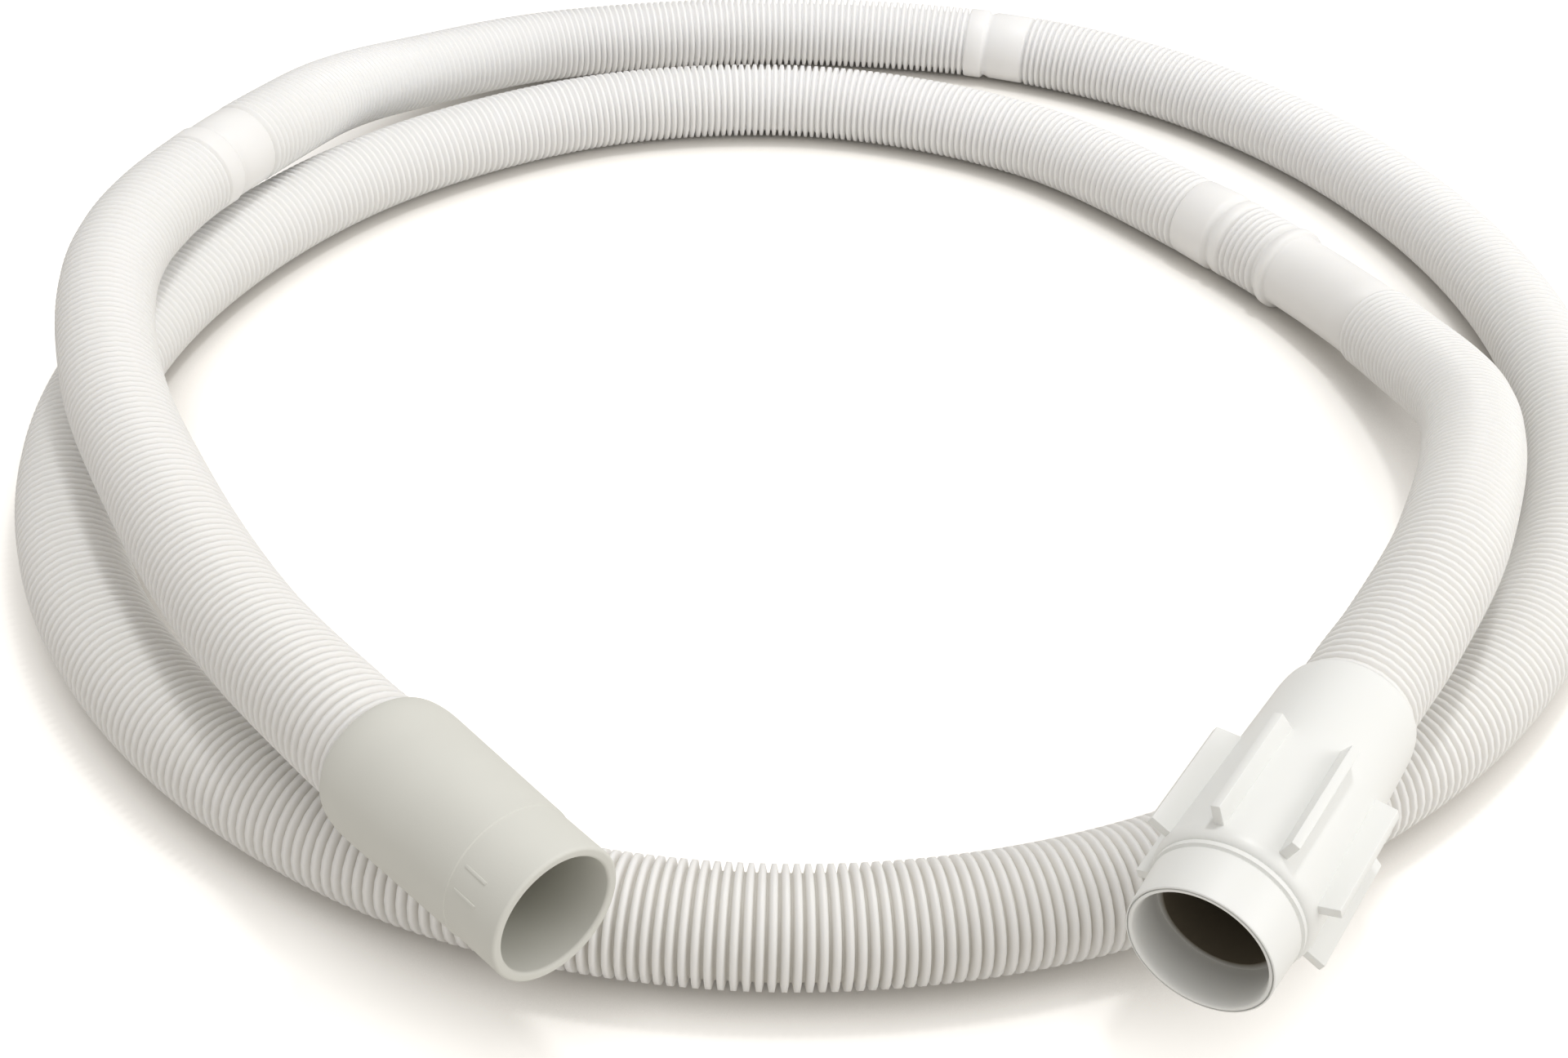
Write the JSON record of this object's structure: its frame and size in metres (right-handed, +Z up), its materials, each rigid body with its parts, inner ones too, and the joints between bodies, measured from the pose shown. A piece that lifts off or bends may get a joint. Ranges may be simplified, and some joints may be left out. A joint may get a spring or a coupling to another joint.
{
  "type": "dishwasher drain hose",
  "caption": "Corrugated plastic drain hose laid in two loose turns, with a plain soft cuff on one end and a firm finned cuff on the other.",
  "frame": {"origin": "on the floor under the middle of the laid hose", "axes": "+Z up, away from the floor; both cuffs' mouths point forward, towards -Y, the soft cuff at -X and the finned cuff at +X"},
  "size_m": [0.4491, 0.4893, 0.0633],
  "materials": {
    "hose_plastic": "satin, moulded",
    "soft_plastic": "matte, moulded",
    "firm_plastic": "satin, moulded"
  },
  "bodies": {
    "root": {"drain_hose": "hose_plastic", "soft_cuff": "soft_plastic", "finned_cuff": "firm_plastic"}
  },
  "joints": []
}
